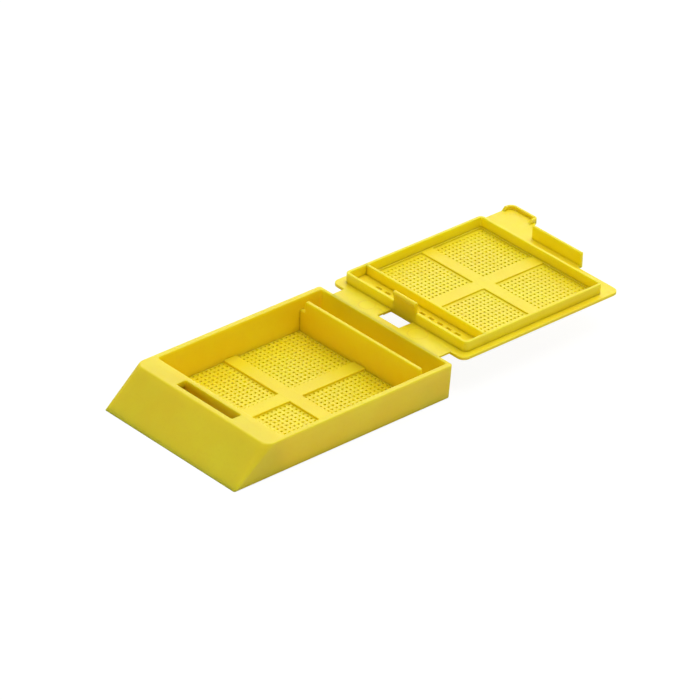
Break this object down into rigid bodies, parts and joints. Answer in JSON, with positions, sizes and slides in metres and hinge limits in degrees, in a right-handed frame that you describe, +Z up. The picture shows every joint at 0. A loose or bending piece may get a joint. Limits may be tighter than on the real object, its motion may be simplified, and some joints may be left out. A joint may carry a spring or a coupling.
{
  "type": "tissue cassette",
  "caption": "Yellow plastic tissue cassette: shallow mesh-floored tray with a sloped writing face, and a meshed lid open behind it on a living hinge.",
  "frame": {"origin": "middle of the tray floor's underside, where the floor's bars cross", "axes": "+Y from the tray towards the open lid, +X across the tray, +Z up out of the tray"},
  "size_m": [0.0284, 0.0787, 0.0088],
  "materials": {
    "yellow_acetal": "satin"
  },
  "bodies": {
    "base": {"tray_walls": "yellow_acetal", "writing_block": "yellow_acetal", "chamber_partition": "yellow_acetal", "floor_bars": "yellow_acetal", "chamber_floor": "yellow_acetal", "floor_mesh_front_left": "yellow_acetal", "floor_mesh_front_right": "yellow_acetal", "floor_mesh_rear_left": "yellow_acetal", "floor_mesh_rear_right": "yellow_acetal", "hinge_web_tray_half": "yellow_acetal"},
    "lid": {"hinge_web_lid_half": "yellow_acetal", "lid_plate": "yellow_acetal", "flow_strip": "yellow_acetal", "lid_rib_frame": "yellow_acetal", "divider_rib": "yellow_acetal", "rear_latch_tab": "yellow_acetal", "front_latch_flap": "yellow_acetal", "finger_tongue": "yellow_acetal", "lid_bars": "yellow_acetal", "lid_mesh_near_left": "yellow_acetal", "lid_mesh_near_right": "yellow_acetal", "lid_mesh_far_left": "yellow_acetal", "lid_mesh_far_right": "yellow_acetal"}
  },
  "joints": [
    {"name": "lid_hinge", "type": "hinge", "parent": "base", "child": "lid", "pos_m": [0, 0.01873, 0.00551], "axis": [1, 0, 0], "range_deg": [0, 180], "stiffness_Nm_per_rad": 0.01}
  ]
}
